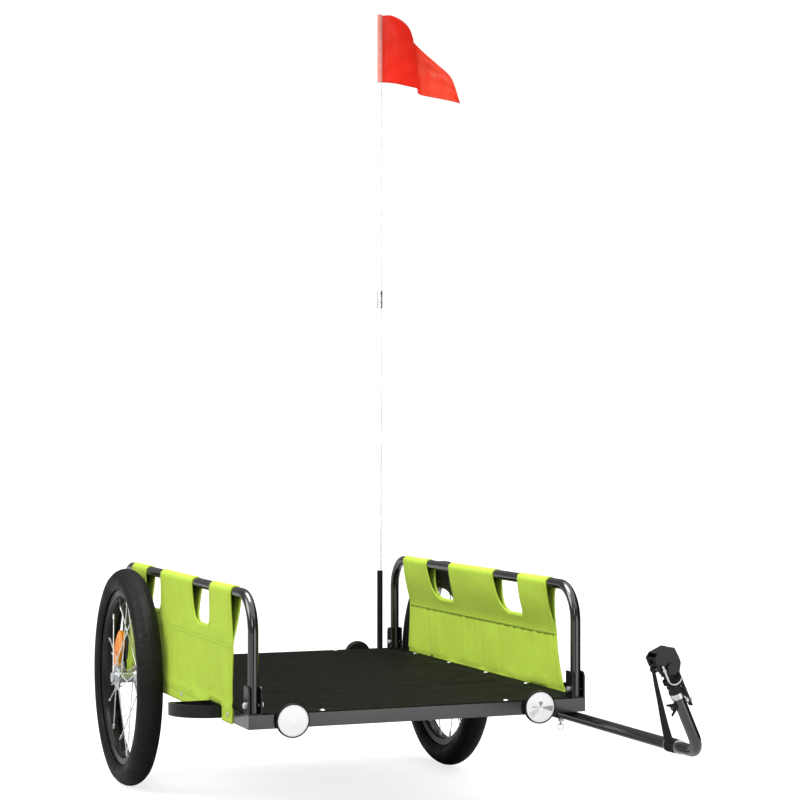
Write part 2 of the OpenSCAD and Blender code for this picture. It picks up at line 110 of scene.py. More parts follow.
def make_studio():
    scene = bpy.context.scene
    scene.view_settings.view_transform = "Standard"
    world = bpy.data.worlds.new("studio")
    scene.world = world
    world.use_nodes = True
    tree = world.node_tree
    path = tree.nodes.new("ShaderNodeLightPath")
    shade = WORLD_SOFT
    for output, value in (("Is Glossy Ray", WORLD_GLOSS), ("Is Camera Ray", WORLD_SEEN)):
        ramp = tree.nodes.new("ShaderNodeMix")
        ramp.data_type = "RGBA"
        if isinstance(shade, float):
            ramp.inputs["A"].default_value = (shade, shade, shade * 1.01, 1)
        else:
            tree.links.new(shade, ramp.inputs["A"])
        ramp.inputs["B"].default_value = (value, value, value, 1)
        tree.links.new(path.outputs[output], ramp.inputs["Factor"])
        shade = next(o for o in ramp.outputs if o.enabled)
    tree.links.new(shade, tree.nodes["Background"].inputs["Color"])
    for name, settings in SOFTBOXES.items():
        area_light(name, *settings)
    sun = bpy.data.lights.new("overhead", "SUN")
    sun.energy, sun.angle = SUN_POWER, math.radians(SUN_SPREAD)
    lamp = bpy.data.objects.new("overhead", sun)
    lamp.rotation_euler = [math.radians(a) for a in SUN_TILT]
    scene.collection.objects.link(lamp)
    for name, settings in CARDS.items():
        card(name, *settings)
    floor_mesh = bpy.data.meshes.new("floor")
    far = FLOOR_HALF
    floor_mesh.from_pydata([(-far, -far, 0), (far, -far, 0), (far, far, 0), (-far, far, 0)], [], [(0, 1, 2, 3)])
    floor = bpy.data.objects.new("floor", floor_mesh)
    floor.location.z = -0.0005
    scene.collection.objects.link(floor)
    look = Look("floor_white", (0.42, 0.42, 0.42), 0.9, spec=0.0)
    seen = look.node("ShaderNodeLightPath").outputs["Is Camera Ray"]
    look.shader.inputs["Emission Color"].default_value = (1, 1, 1, 1)
    look.tree.links.new(look.math("MULTIPLY", seen, FLOOR_GLOW), look.shader.inputs["Emission Strength"])
    floor_mesh.materials.append(look.mat)


# ---------------------------------------------------------------- materials
class Look:
    """A principled material whose colour, roughness and bump are built up from noise and wave nodes."""

    def __init__(self, name, color, rough, metal=0.0, ior=1.5, coat=0.0, coat_rough=0.05, sheen=0.0,
                 sheen_rough=0.4, spec=0.5):
        self.mat = bpy.data.materials.new(name)
        self.mat.use_nodes = True
        self.tree = self.mat.node_tree
        self.shader = self.tree.nodes["Principled BSDF"]
        self.color = tuple(color)
        s = self.shader.inputs
        s["Base Color"].default_value = (*color, 1)
        s["Roughness"].default_value = rough
        s["Metallic"].default_value = metal
        s["IOR"].default_value = ior
        s["Coat Weight"].default_value = coat
        s["Coat Roughness"].default_value = coat_rough
        s["Sheen Weight"].default_value = sheen
        s["Sheen Roughness"].default_value = sheen_rough
        s["Specular IOR Level"].default_value = spec
        self.height = None
        self.place = None

    def node(self, kind, link=None, **settings):
        n = self.tree.nodes.new(kind)
        for key, value in settings.items():
            if key in n.inputs:
                n.inputs[key].default_value = value
            else:
                setattr(n, key.lower(), value)
        for key, value in (link or {}).items():
            self.tree.links.new(value, n.inputs[key])
        return n

    def coords(self):
        if self.place is None:
            self.place = self.node("ShaderNodeTexCoord").outputs["Object"]
        return self.place

    def stretch(self, scale):
        """Object coordinates, scaled differently along each axis."""
        return self.node("ShaderNodeMapping", {"Vector": self.coords()}, Scale=scale).outputs["Vector"]

    def noise(self, scale, detail=3.0, rough=0.55, vector=None):
        return self.node("ShaderNodeTexNoise", {"Vector": vector or self.coords()},
                         Scale=scale, Detail=detail, Roughness=rough).outputs["Fac"]

    def spread(self, fac, low, high, lo_in=0.3, hi_in=0.7):
        limits = {"From Min": lo_in, "From Max": hi_in, "To Min": low, "To Max": high}
        return self.node("ShaderNodeMapRange", {"Value": fac}, **limits).outputs["Result"]

    def math(self, op, a, b):
        n = self.node("ShaderNodeMath", operation=op)
        for i, v in enumerate((a, b)):
            if isinstance(v, (int, float)):
                n.inputs[i].default_value = v
            else:
                self.tree.links.new(v, n.inputs[i])
        return n.outputs[0]

    def mix(self, fac, a, b, kind="MIX"):
        n = self.node("ShaderNodeMix")
        n.data_type, n.blend_type = "RGBA", kind
        for key, v in (("Factor", fac), ("A", a), ("B", b)):
            socket = next(s for s in n.inputs if s.name == key and s.enabled)
            if isinstance(v, tuple):
                socket.default_value = (*v, 1)
            elif isinstance(v, (int, float)):
                socket.default_value = v
            else:
                self.tree.links.new(v, socket)
        return next(s for s in n.outputs if s.enabled)

    def vary(self, scale, other, low=0.3, high=0.7, amount=1.0, vector=None):
        """Blends the colour towards another one, by noise."""
        return self.tint(self.spread(self.noise(scale, vector=vector), 0.0, amount, low, high), other)

    def tint(self, fac, other):
        """Blends the colour towards another one, where fac is 1."""
        now = self.shader.inputs["Base Color"]
        base = now.links[0].from_socket if now.is_linked else self.color
        self.tree.links.new(self.mix(fac, base, tuple(other)), now)
        return self

    def smudge(self, scale, low, high):
        """Roughness from low to high, by noise."""
        self.tree.links.new(self.spread(self.noise(scale), low, high), self.shader.inputs["Roughness"])
        return self

    def relief(self, fac, distance, strength=1.0):
        """Adds a height, in metres, to the bump."""
        n = self.node("ShaderNodeBump", {"Height": fac}, Distance=distance, Strength=strength)
        if self.height is not None:
            self.tree.links.new(self.height, n.inputs["Normal"])
        self.height = n.outputs["Normal"]
        self.tree.links.new(self.height, self.shader.inputs["Normal"])
        return self

    def weave(self, axes, pitch, depth, gap_shade=None):
        """Plain weave: threads along two object axes, pitch metres apart, with painted shade in the hollows
        between them.
        """
        bands = []
        for a in axes:
            w = self.node("ShaderNodeTexWave", {"Vector": self.coords()}, Scale=math.pi / pitch / 10,
                          Distortion=0.4)
            w.wave_type, w.bands_direction, w.wave_profile = "BANDS", a, "SIN"
            bands.append(w.outputs["Fac"])
        over = self.math("MAXIMUM", bands[0], bands[1])
        self.relief(over, depth)
        # painted shade: the colour darkens where the weave is low, between the threads
        if gap_shade:
            self.tint(self.spread(over, 1.0, 0.0, 0.0, 1.0), gap_shade)
        return self


def paint(name, color, rough, ior, bumps=0.00002, coat=0.3):
    k = Look(name, color, rough, ior=ior, coat=coat, coat_rough=0.08)
    k.vary(9, tuple(c * 1.7 + 0.002 for c in color), 0.35, 0.75, 0.8)
    k.vary(420, tuple(c * 0.5 for c in color), 0.45, 0.7, 0.7)
    k.smudge(14, rough * 0.75, rough * 1.35)
    k.relief(k.noise(900, 2), bumps, 0.5)
    k.relief(k.noise(60, 2), bumps * 2, 0.25)
    return k


def metal(name, color, rough, grain=(1, 1, 1), scale=700, metal=1.0):
    k = Look(name, color, rough, metal=metal)
    k.vary(30, tuple(c * 0.82 for c in color), 0.35, 0.7)
    k.smudge(55, rough * 0.6, rough * 1.5)
    k.relief(k.noise(scale, 3, vector=k.stretch(grain)), 0.00002, 0.5)
    return k


def cloth(name, color, shade, axes, pitch=0.0007, rough=0.75, sheen=0.15, depth=0.00008, spec=0.12):
    k = Look(name, color, rough, sheen=sheen, sheen_rough=0.5, spec=spec)
    k.vary(26, shade, 0.3, 0.75, 0.35)
    k.vary(900, shade, 0.35, 0.7, 0.5)
    # the darker weave colour is painted shade between the threads
    k.weave(axes, pitch, depth, tuple(c * 0.72 for c in color))
    k.relief(k.noise(70, 3), 0.0004, 0.35)
    k.smudge(40, rough * 0.9, min(1.0, rough * 1.15))
    return k


def plastic(name, color, rough, ior=1.48, grain=1400, bumps=0.00004, coat=0.0, spec=0.4):
    k = Look(name, color, rough, ior=ior, coat=coat, spec=spec)
    k.vary(18, tuple(c * 1.6 + 0.003 for c in color), 0.4, 0.75, 0.7)
    k.smudge(25, rough * 0.8, rough * 1.25)
    k.relief(k.noise(grain, 2), bumps, 0.5)
    return k


def radial(look, centre, axes=(1, 2)):
    """Distance from an axis through centre, in metres, and the angle round it."""
    sep = look.node("ShaderNodeSeparateXYZ", {"Vector": look.coords()})
    d = [look.math("SUBTRACT", sep.outputs[a], centre[a]) for a in axes]
    squares = [look.math("MULTIPLY", v, v) for v in d]
    r = look.math("SQRT", look.math("ADD", *squares), 0.0)
    angle = look.math("ARCTAN2", d[1], d[0])
    return r, angle


def make_materials():
    looks = {}
    looks["frame_paint"] = paint("frame_paint", (0.006, 0.006, 0.0065), 0.16, 1.85)
    looks["bracket_paint"] = paint("bracket_paint", (0.004, 0.004, 0.0045), 0.24, 1.42, coat=0.0)
    looks["bed_cloth"] = cloth("bed_cloth", (0.0080, 0.0085, 0.0058), (0.012, 0.012, 0.010), ("X", "Y"),
                               0.0009, 0.65, 0.0, spec=0.03)
    looks["side_cloth"] = cloth("side_cloth", (0.43, 0.60, 0.055), (0.40, 0.55, 0.05), ("Y", "Z"),
                                0.0008, 0.72, 0.03)
    looks["zinc"] = metal("zinc", (0.86, 0.86, 0.88), 0.5)
    looks["bright"] = metal("bright", (0.80, 0.80, 0.82), 0.3)
    looks["spoke_steel"] = metal("spoke_steel", (0.92, 0.92, 0.94), 0.35, metal=0.5)
    looks["hub_alloy"] = metal("hub_alloy", (0.74, 0.76, 0.79), 0.3)
    looks["black_plastic"] = plastic("black_plastic", (0.005, 0.005, 0.005), 0.36, spec=0.25)
    looks["coupler_rubber"] = plastic("coupler_rubber", (0.008, 0.008, 0.008), 0.5, grain=800,
                                      bumps=0.0001, spec=0.3)
    looks["pole_white"] = plastic("pole_white", (0.70, 0.70, 0.68), 0.35, grain=500, bumps=0.00002, coat=0.15)
    looks["webbing"] = cloth("webbing", (0.012, 0.012, 0.012), (0.02, 0.02, 0.02), ("Y", "Z"),
                             0.0016, 0.7, 0.0, 0.0003)
    looks["flag_vinyl"] = make_vinyl("flag_vinyl", (0.88, 0.016, 0.006), (0.88, 0.036, 0.016), 0.22,
                                     pole_axis()[0] + FLAG_FOLD * MM)
    looks["clear_lens"] = make_lens("clear_lens", (0.95, 0.95, 0.96), (0.72, 0.73, 0.75), 0.12,
                                    at(*RIGHT_REFLECTOR))
    looks["red_lens"] = make_lens("red_lens", (0.62, 0.012, 0.008), (0.25, 0.004, 0.003), 0.12)
    looks["amber"] = make_amber()
    looks["rim_alloy"] = make_rim_look("rim_alloy")
    looks["tyre"] = plastic("tyre", (0.0075, 0.0075, 0.007), 0.5, grain=700, bumps=0.0001, spec=0.15)
    return looks


def make_vinyl(name, color, shade, rough, fold=None):
    k = Look(name, color, rough, coat=0.06, coat_rough=0.1, spec=0.15)
    k.vary(16, shade, 0.35, 0.7, 0.7)
    k.vary(7, shade, 0.4, 0.7, 0.6, vector=k.stretch((6, 6, 0.6)))
    k.weave(("X", "Z"), 0.0012, 0.00002)
    k.smudge(30, rough * 0.8, rough * 1.5)
    k.relief(k.noise(24, 3, vector=k.stretch((1, 1, 0.6))), 0.003, 0.35)
    if fold is not None:
        # past the fold the cloth is tinted paler in streaks: a painted sheen where it faces the light
        # differently
        side = k.node("ShaderNodeSeparateXYZ", {"Vector": k.coords()}).outputs["X"]
        sheen_streaks = k.spread(k.noise(10, 3, vector=k.stretch((9, 9, 0.7))), 0.55, 1.0, 0.35, 0.65)
        past = k.spread(side, 0.0, 1.0, fold - 0.004, fold + 0.006)
        k.tint(k.math("MULTIPLY", past, sheen_streaks), (0.88, 0.085, 0.038))
    glow = k.node("ShaderNodeBsdfTranslucent", Color=(0.9, 0.03, 0.012, 1))
    both = k.node("ShaderNodeMixShader", {1: k.shader.outputs[0], 2: glow.outputs[0]})
    both.inputs[0].default_value = 0.22
    k.tree.links.new(both.outputs[0], k.tree.nodes["Material Output"].inputs["Surface"])
    return k


RIGHT_REFLECTOR = (202.5, 0, 202)    # its middle, in mm
# painted dark reflections, in wedges of the right front reflector: angle and half angle (rad), reach (m), shade
DARK_REFLECTION_WEDGES = ((-0.12, 0.24, 0.0215, 0.34), (1.5, 0.5, 0.0085, 0.20), (3.1, 0.12, 0.013, 0.30),
          (-2.5, 0.3, 0.02, 0.62))


def make_lens(name, color, shade, rough, facets=None):
    """A moulded reflector: rows of small corner prisms under a smooth clear face."""
    k = Look(name, color, rough, coat=1.0, coat_rough=0.02, ior=1.5)
    cells = k.node("ShaderNodeTexVoronoi", {"Vector": k.coords()}, Scale=330.0, Randomness=0.0)
    k.tint(k.spread(cells.outputs["Distance"], 0.0, 0.35, 0.1, 0.6), shade)
    k.vary(45, shade, 0.55, 0.8, 0.35)
    k.relief(cells.outputs["Distance"], 0.0006, 0.35)
    k.smudge(60, rough * 0.8, rough * 1.6)
    if facets is not None:
        # the prisms stand in wedges turned against each other, and a few wedges are tinted with a painted dark
        # reflection
        r, angle = radial(k, facets, (0, 2))
        for middle, half, reach, dark in DARK_REFLECTION_WEDGES:
            turn = k.math("ABSOLUTE", k.math("SUBTRACT", angle, middle), 0.0)
            across = k.spread(turn, 1.0, 0.0, half * 0.85, half)
            along = k.spread(r, 1.0, 0.0, reach, reach + 0.002)
            k.tint(k.math("MULTIPLY", across, along), (dark, dark, dark * 1.03))
    return k


def make_amber():
    k = Look("amber", (0.90, 0.36, 0.001), 0.2, spec=0.12)
    cells = k.node("ShaderNodeTexVoronoi", {"Vector": k.coords()}, Scale=210.0, Randomness=0.0)
    k.tint(k.spread(cells.outputs["Distance"], 0.0, 0.8, 0.1, 0.55), (0.72, 0.16, 0.002))
    k.vary(40, (0.95, 0.52, 0.03), 0.5, 0.7, 0.6)
    k.relief(cells.outputs["Distance"], 0.0005, 0.4)
    k.smudge(80, 0.12, 0.26)
    return k


def wheel_centre(side):
    lo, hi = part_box(side + "_tyre")
    return (lo + hi) / 2


RIM_LIP, RIM_INNER = 0.1578, 0.1464    # radii in metres where the rim's look changes


def make_rim_look(name):
    """Black anodised rim with its outer lip turned bright. The wheels share an axle height, so both use it."""
    k = Look(name, (0.010, 0.010, 0.011), 0.3, ior=1.45, spec=0.35)
    r, _ = radial(k, wheel_centre("left"))
    k.tint(k.spread(r, 0.0, 1.0, RIM_LIP, RIM_LIP + MM), (0.075, 0.075, 0.078))
    k.tint(k.spread(r, 1.0, 0.0, RIM_INNER, RIM_INNER + MM), (0.016, 0.016, 0.017))
    k.vary(30, (0.018, 0.018, 0.019), 0.45, 0.75, 0.4)
    k.smudge(40, 0.16, 0.34)
    k.relief(k.noise(800, 2), 0.00003, 0.4)
    return k


# ---------------------------------------------------------------- mesh helpers
def new_piece(name, verts, faces, look, body, smooth=True):
    mesh = bpy.data.meshes.new(name)
    mesh.from_pydata([tuple(v) for v in verts], [], faces)
    mesh.validate()
    if smooth:
        mesh.shade_smooth()
    obj = bpy.data.objects.new(name, mesh)
    bpy.context.scene.collection.objects.link(obj)
    mesh.materials.append(look.mat)
    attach(obj, body)
    return obj


def apply_modifiers(obj):
    """Bakes the modifiers of obj into its mesh."""
    graph = bpy.context.evaluated_depsgraph_get()
    mesh = bpy.data.meshes.new_from_object(obj.evaluated_get(graph))
    obj.modifiers.clear()
    old = obj.data
    obj.data = mesh
    bpy.data.meshes.remove(old)
    return obj


def simulate(obj, pinned, cap, slack, bend, frames=24):
    """Lets a sheet settle as cloth with its pinned points held, and caps how far each point may move."""
    group = obj.vertex_groups.new(name="held")
    for i, w in enumerate(pinned):
        if w > 0:
            group.add([i], float(w), "REPLACE")
    rest = np.array([v.co for v in obj.data.vertices])
    mod = obj.modifiers.new("cloth", "CLOTH")
    s = mod.settings
    s.quality, s.mass = 6, 0.25
    s.tension_stiffness, s.compression_stiffness, s.shear_stiffness, s.bending_stiffness = 30, 30, 12, bend
    s.tension_damping = s.compression_damping = s.shear_damping = 12
    s.air_damping = 3
    s.shrink_min = -slack
    s.vertex_group_mass = "held"
    mod.collision_settings.use_collision = False
    mod.point_cache.frame_start, mod.point_cache.frame_end = 1, frames
    scene = bpy.context.scene
    for f in range(1, frames + 1):
        scene.frame_set(f)
    graph = bpy.context.evaluated_depsgraph_get()
    got = obj.evaluated_get(graph).data
    moved = np.array([v.co for v in got.vertices])
    scene.frame_set(1)
    obj.modifiers.clear()
    obj.vertex_groups.clear()
    step = moved - rest
    size = np.linalg.norm(step, axis=1)
    limit = np.broadcast_to(np.asarray(cap, float), size.shape)
    capped = limit * np.tanh(size / np.maximum(limit, 1e-9))
    scale = np.where(size > 1e-9, capped / np.maximum(size, 1e-9), 0)
    return rest + step * scale[:, None]


class Cut:
    """A flat cut of cloth: an outline with holes in a plane, filled with small triangles."""

    def __init__(self, outline, holes, pitch):
        self.outline = [tuple(p) for p in outline]
        self.holes = [[tuple(p) for p in h] for h in holes]
        points, edges = [], []
        for loop in [self.outline] + self.holes:
            n0 = len(points)
            points += loop
            edges += [(n0 + i, n0 + (i + 1) % len(loop)) for i in range(len(loop))]
        border = np.array(points)
        xs, ys = border[:, 0], border[:, 1]
        for j, y in enumerate(np.arange(ys.min() + pitch * 0.6, ys.max(), pitch * 0.87)):
            for x in np.arange(xs.min() + pitch * (0.5 + 0.5 * (j % 2)), xs.max(), pitch):
                if self.inside(x, y) and np.hypot(xs - x, ys - y).min() > pitch * 0.55:
                    points.append((x, y))
        got = delaunay_2d_cdt([Vector(p) for p in points], edges, [], 0, 1e-5)
        self.flat = np.array([tuple(v) for v in got[0]])
        self.faces = []
        for f in got[2]:
            c = self.flat[list(f)].mean(axis=0)
            if self.inside(*c):
                self.faces.append(tuple(f))
        used = sorted({i for f in self.faces for i in f})
        index = {v: i for i, v in enumerate(used)}
        self.flat = self.flat[used]
        self.faces = [tuple(index[i] for i in f) for f in self.faces]
        self.tree = BVHTree.FromPolygons([(p[0], p[1], 0) for p in self.flat], self.faces)
        a, b, c = (self.flat[[f[i] for f in self.faces]] for i in range(3))
        ab, ac = b - a, c - a
        self.area = abs(ab[:, 0] * ac[:, 1] - ab[:, 1] * ac[:, 0]).sum() / 2

    def inside(self, x, y):
        def odd(loop):
            hit, j = False, len(loop) - 1
            for i, (xi, yi) in enumerate(loop):
                xj, yj = loop[j]
                if (yi > y) != (yj > y) and x < (xj - xi) * (y - yi) / (yj - yi) + xi:
                    hit = not hit
                j = i
            return hit
        return odd(self.outline) and not any(odd(h) for h in self.holes)

    def lift(self, coords, x, y):
        """The place in space, and the cloth's normal there, of a point of the flat cut."""
        _, _, f, _ = self.tree.find_nearest(Vector((x, y, 0)))
        tri = self.faces[f]
        flat = [Vector((*self.flat[i], 0)) for i in tri]
        real = [Vector(coords[i]) for i in tri]
        normal = (real[1] - real[0]).cross(real[2] - real[0]).normalized()
        return barycentric_transform(Vector((x, y, 0)), *flat, *real), normal


STITCH, STITCH_GAP, THREAD_R, THREAD_SIDES = 3.2, 1.5, 0.00028, 5    # mm, mm, m
# along a stitch: how far, and how fat the thread is there
THREAD = ((0, 0.35), (0.18, 1), (0.5, 1.1), (0.82, 1), (1, 0.35))


def stitch_row(cut, coords, line, lift):
    """Raised threads along a line of the flat cut, on both faces of the cloth, lift metres from its middle."""
    verts, faces = [], []
    line = np.array(line, float)
    seg = np.hypot(*np.diff(line, axis=0).T)
    at_len = np.concatenate([[0], np.cumsum(seg)])
    total, s = at_len[-1], STITCH_GAP

    def point(d):
        return np.array([np.interp(d, at_len, line[:, k]) for k in (0, 1)])
    n = THREAD_SIDES
    ring = [(math.cos(a), math.sin(a)) for a in np.linspace(0, 2 * math.pi, n + 1)[:-1]]
    while s + STITCH < total:
        first, middle, last = [cut.lift(coords, *point(s + STITCH * t)) for t in (0, 0.5, 1)]
        for side in (1, -1):
            base = len(verts)
            along = (last[0] - first[0]).normalized()
            up = middle[1] * side
            across = along.cross(up).normalized()
            for t, fat in THREAD:
                q = middle[0] if t == 0.5 else first[0].lerp(last[0], t)
                drop = 0.00035 * (1 - fat)
                for cx, cy in ring:
                    verts.append(q + up * (lift - drop + THREAD_R * fat * cy) + across * (THREAD_R * fat * cx))
            for k in range(len(THREAD) - 1):
                for i in range(n):
                    a, b = base + k * n + i, base + k * n + (i + 1) % n
                    faces.append((a, b, b + n, a + n))
            faces.append(tuple(base + i for i in range(n - 1, -1, -1)))
            faces.append(tuple(base + (len(THREAD) - 1) * n + i for i in range(n)))
        s += STITCH + STITCH_GAP
    return verts, faces


def stitch_piece(name, cut, coords, lines, look, lift):
    verts, faces = [], []
    for line in lines:
        v, f = stitch_row(cut, coords, line, lift)
        faces += [tuple(i + len(verts) for i in face) for face in f]
        verts += v
    return new_piece(name, verts, faces, look, "frame")


def rounded(points, radius, steps=5):
    """A closed outline with its corners rounded by the given radii."""
    out = []
    n = len(points)
    for i, p in enumerate(points):
        r = radius[i] if hasattr(radius, "__len__") else radius
        p, a, b = Vector(p), Vector(points[i - 1]), Vector(points[(i + 1) % n])
        if r <= 0:
            out.append(tuple(p))
            continue
        da, db = (a - p).normalized(), (b - p).normalized()
        p0, p1 = p + da * r, p + db * r
        for t in np.linspace(0, 1, steps + 1):
            out.append(tuple((1 - t) ** 2 * p0 + 2 * t * (1 - t) * p + t * t * p1))
    return out


def resample(points, step, closed=True):
    pts = [np.array(p, float) for p in points]
    if closed:
        pts.append(pts[0])
    out = []
    for a, b in zip(pts, pts[1:]):
        n = max(1, int(round(np.linalg.norm(b - a) / step)))
        out += [tuple(a + (b - a) * i / n) for i in range(n)]
    if not closed:
        out.append(tuple(pts[-1]))
    return out


# ---------------------------------------------------------------- side panels
# millimetres: x across, y along, z up, and s along the cloth from its lower outer edge
TUBE_X, TUBE_Z, LOOP_R = 276.6, 396.0, 9.4    # the hoop's top tube, and the cloth's middle round it
FOOT_Z, RAIL_TOP = 187.6, 213.0    # the panel's lower edge, and the rail's top
RAIL_X, OVER_X = 288.8, 286.0    # the outer layer beside the rail, and beside the tube
FLAP_TOP, FLAP_MIDDLE, FLAP_END = (285.7, 319), (286.2, 316), (286.95, 304.0)    # the inner layer's sewn end
HEM = 16.0    # the bottom hem's stitching above its edge
EDGE_STITCH = 12    # the end stitching inside its edge
NOTCH_Z, NOTCH_STITCH = 333.0, 6    # foot of the hand holes, and the stitching outside them
NOTCH_OPEN = 16    # half the straight stretch of a hand hole over the tube
SEAM_Z, SEAM_MIDDLE = (307.5, 314.0), 311
WHEEL_Y, WHEEL_Z, WHEEL_HOLE = 698.0, 200, 14.5    # the cut-out round the axle
GUARD_GAP, GUARD_TOP = (148, 228), 211.5    # the cut-out over the deflector
PANEL_PITCH, PANEL_THICK = 6.5, 1.9
# per panel: the (y, z) lines of its two ends, and the (y0, y1) of its hand holes
PANELS = {"right": ([(74, 187), (112, 310), (112, 410)], [(826, 187), (814, 310), (800, 410)],
                    [(233, 345), (558, 675)]),
          "left": ([(88, 187), (90, 310), (112, 410)], [(822, 187), (808, 310), (788, 410)],
                   [(236, 349), (569, 682)])}


def panel_path():
    """The cloth's middle line in (x, z): up outside the rail, over the tube, down to the seam."""
    inner_x = TUBE_X - LOOP_R
    pts = [(RAIL_X, FOOT_Z), (RAIL_X, RAIL_TOP)]
    pts += [(RAIL_X + (OVER_X - RAIL_X) * t, RAIL_TOP + (TUBE_Z - RAIL_TOP) * t)
            for t in np.linspace(0, 1, 20)[1:]]
    pts += [(TUBE_X + LOOP_R * math.cos(a), TUBE_Z + LOOP_R * math.sin(a))
            for a in np.linspace(0, math.pi, 24)[1:]]
    pts += [(inner_x + (FLAP_TOP[0] - inner_x) * t, TUBE_Z + (FLAP_TOP[1] - TUBE_Z) * t)
            for t in np.linspace(0, 1, 14)[1:]]
    p = np.array(pts + [FLAP_MIDDLE, FLAP_END])
    s = np.concatenate([[0], np.cumsum(np.hypot(*np.diff(p, axis=0).T))])
    return p, s


PATH, PATH_S = panel_path()
TOP_S = PATH_S[np.argmax(PATH[:, 1])]
END_S = PATH_S[-1]


def path_at(s):
    return np.interp(s, PATH_S, PATH[:, 0]), np.interp(s, PATH_S, PATH[:, 1])


def s_of(z, inner=False):
    """How far along the cloth a height is, on its outer or inner layer."""
    keep = PATH_S >= TOP_S if inner else PATH_S <= TOP_S
    zs, ss = PATH[keep, 1], PATH_S[keep]
    order = np.argsort(zs)
    return float(np.interp(z, zs[order], ss[order]))


def panel_end(line, z, bow):
    """Where an end of the panel is at a height. It bows in a little between the tube, the seam and the rail."""
    y = np.interp(z, [p[1] for p in line], [p[0] for p in line])
    high = math.sin(math.pi * min(1, max(0, (z - 314) / 82))) * 4.0
    low = math.sin(math.pi * min(1, max(0, (z - 212) / 96))) * 1.5
    return y + bow * (high + low)


def notch_loop(ends, foot, out, radii, step):
    """A loop out mm outside a hand hole, through both layers of the cloth and over the tube between them."""
    low, high = s_of(NOTCH_Z) - out, s_of(NOTCH_Z, True) + out
    over = (TOP_S - NOTCH_OPEN, TOP_S + NOTCH_OPEN)
    corners = [(foot[0], low), (foot[1], low), (ends[1], over[0]), (ends[1], over[1]),
               (foot[1], high), (foot[0], high), (ends[0], over[1]), (ends[0], over[0])]
    near, far = radii
    return resample(rounded(corners, [near, far, 0, 0, far, near, 0, 0], 8), step)


def panel_cut(lo, hi, notches):
    """The flat cut of a panel in (y, s), with its hand holes, and the s values of its end lines."""
    ss = list(np.arange(0, END_S, 6.0)) + [END_S]
    outline = [(panel_end(lo, path_at(s)[1], 1), s) for s in ss]
    flap_stop = panel_end(hi, path_at(END_S)[1], -1) - 4
    outline += [(y, END_S) for y in np.arange(outline[-1][0] + 7, flap_stop, 7.0)]
    outline += [(panel_end(hi, path_at(s)[1], -1), s) for s in reversed(ss)]
    y0, y1 = outline[0][0], outline[-1][0]
    g0, g1 = GUARD_GAP
    wheel_s = s_of(WHEEL_Z)
    start = -math.asin(wheel_s / WHEEL_HOLE)
    bottom = [(y, 0.0) for y in np.arange(y1 - 7, WHEEL_Y + 11, -7.0)]
    bottom += [(WHEEL_Y + WHEEL_HOLE * math.cos(t), max(0.0, wheel_s + WHEEL_HOLE * math.sin(t)))
               for t in np.linspace(start, math.pi - start, 16)]
    bottom += [(y, 0.0) for y in np.arange(WHEEL_Y - 14, g1 + 4, -7.0)]
    rail_s = s_of(GUARD_TOP)
    gap = rounded([(g1, 0.0), (g1, rail_s), (g0, rail_s), (g0, 0.0)], [0, 6, 6, 0])
    bottom += resample(gap, 7.0, closed=False)
    bottom += [(y, 0.0) for y in np.arange(g0 - 7, y0 + 4, -7.0)]
    holes = [notch_loop((n0, n1), (n0 + 1, n1 - 9), 0, (15, 42), 6.0) for n0, n1 in notches]
    return Cut(outline + bottom, holes, PANEL_PITCH), ss, (y0, y1)


def drape_panel(panel, cut, coords, sign):
    """Settles the panel as cloth, and adds the soft undulations and puckers that its sewing leaves."""
    zz, inner = coords[:, 2] * 1000, cut.flat[:, 1] > TOP_S
    pin = np.zeros(len(coords))
    pin[(zz < 214) | (zz > 394)] = 1
    pin[~inner & (zz > 305) & (zz < 317)] = 1
    pin[inner & (zz < 319)] = 1
    between_layers = np.clip((zz - 314) / 82, 0, 1) * 18.0
    cap = np.where(zz < 305, 3.2, np.maximum(0.3, np.minimum(3.5, between_layers * 0.3))) * MM
    coords = simulate(panel, pin, cap, slack=0.004, bend=1.5)
    y, s = cut.flat[:, 0], cut.flat[:, 1]
    free = np.clip((zz - 214) / 25, 0, 1) * np.clip((305 - zz) / 25, 0, 1)
    wave = (0.9 * np.sin(y / 47 + s / 61 + sign) + 0.6 * np.sin(y / 23.0 - s / 38 + 2 * sign)
            + 0.5 * np.sin(y / 11.0 + 0.8))
    straps = np.clip((392 - zz) / 18, 0, 1) * np.clip((zz - 320) / 25, 0, 1)
    flutter = 0.7 * np.sin(y / 31 + sign) * np.where(inner, 1, -0.6)
    coords[:, 0] += sign * MM * (free * wave * 0.8 - straps * flutter)
    pucker = np.exp(-((zz - SEAM_MIDDLE) / 6) ** 2) * ~inner
    coords[:, 0] += sign * MM * pucker * 0.18 * np.sin(y / 3.7)
    panel.data.vertices.foreach_set("co", coords.astype(np.float32).ravel())
    panel.data.update()
    return coords


def thicken_panel(panel, cut):
    """Gives the cloth its thickness, doubled in a hem round every edge but the flap's, which is thin."""
    rim = np.array([p for loop in [cut.outline] + cut.holes for p in loop])
    near = np.array([np.hypot(rim[:, 0] - a, rim[:, 1] - b).min() for a, b in cut.flat])
    group = panel.vertex_groups.new(name="hem")
    for i, d in enumerate(near):
        flap = cut.flat[i, 1] > END_S - 9
        group.add([i], 0.3 if flap else 1.0 if d < 7.5 else 0.55, "REPLACE")
    solid = panel.modifiers.new("thick", "SOLIDIFY")
    solid.thickness, solid.offset, solid.vertex_group, solid.use_rim = PANEL_THICK * MM, 0.0, "hem", True
    apply_modifiers(panel)
    panel.vertex_groups.clear()


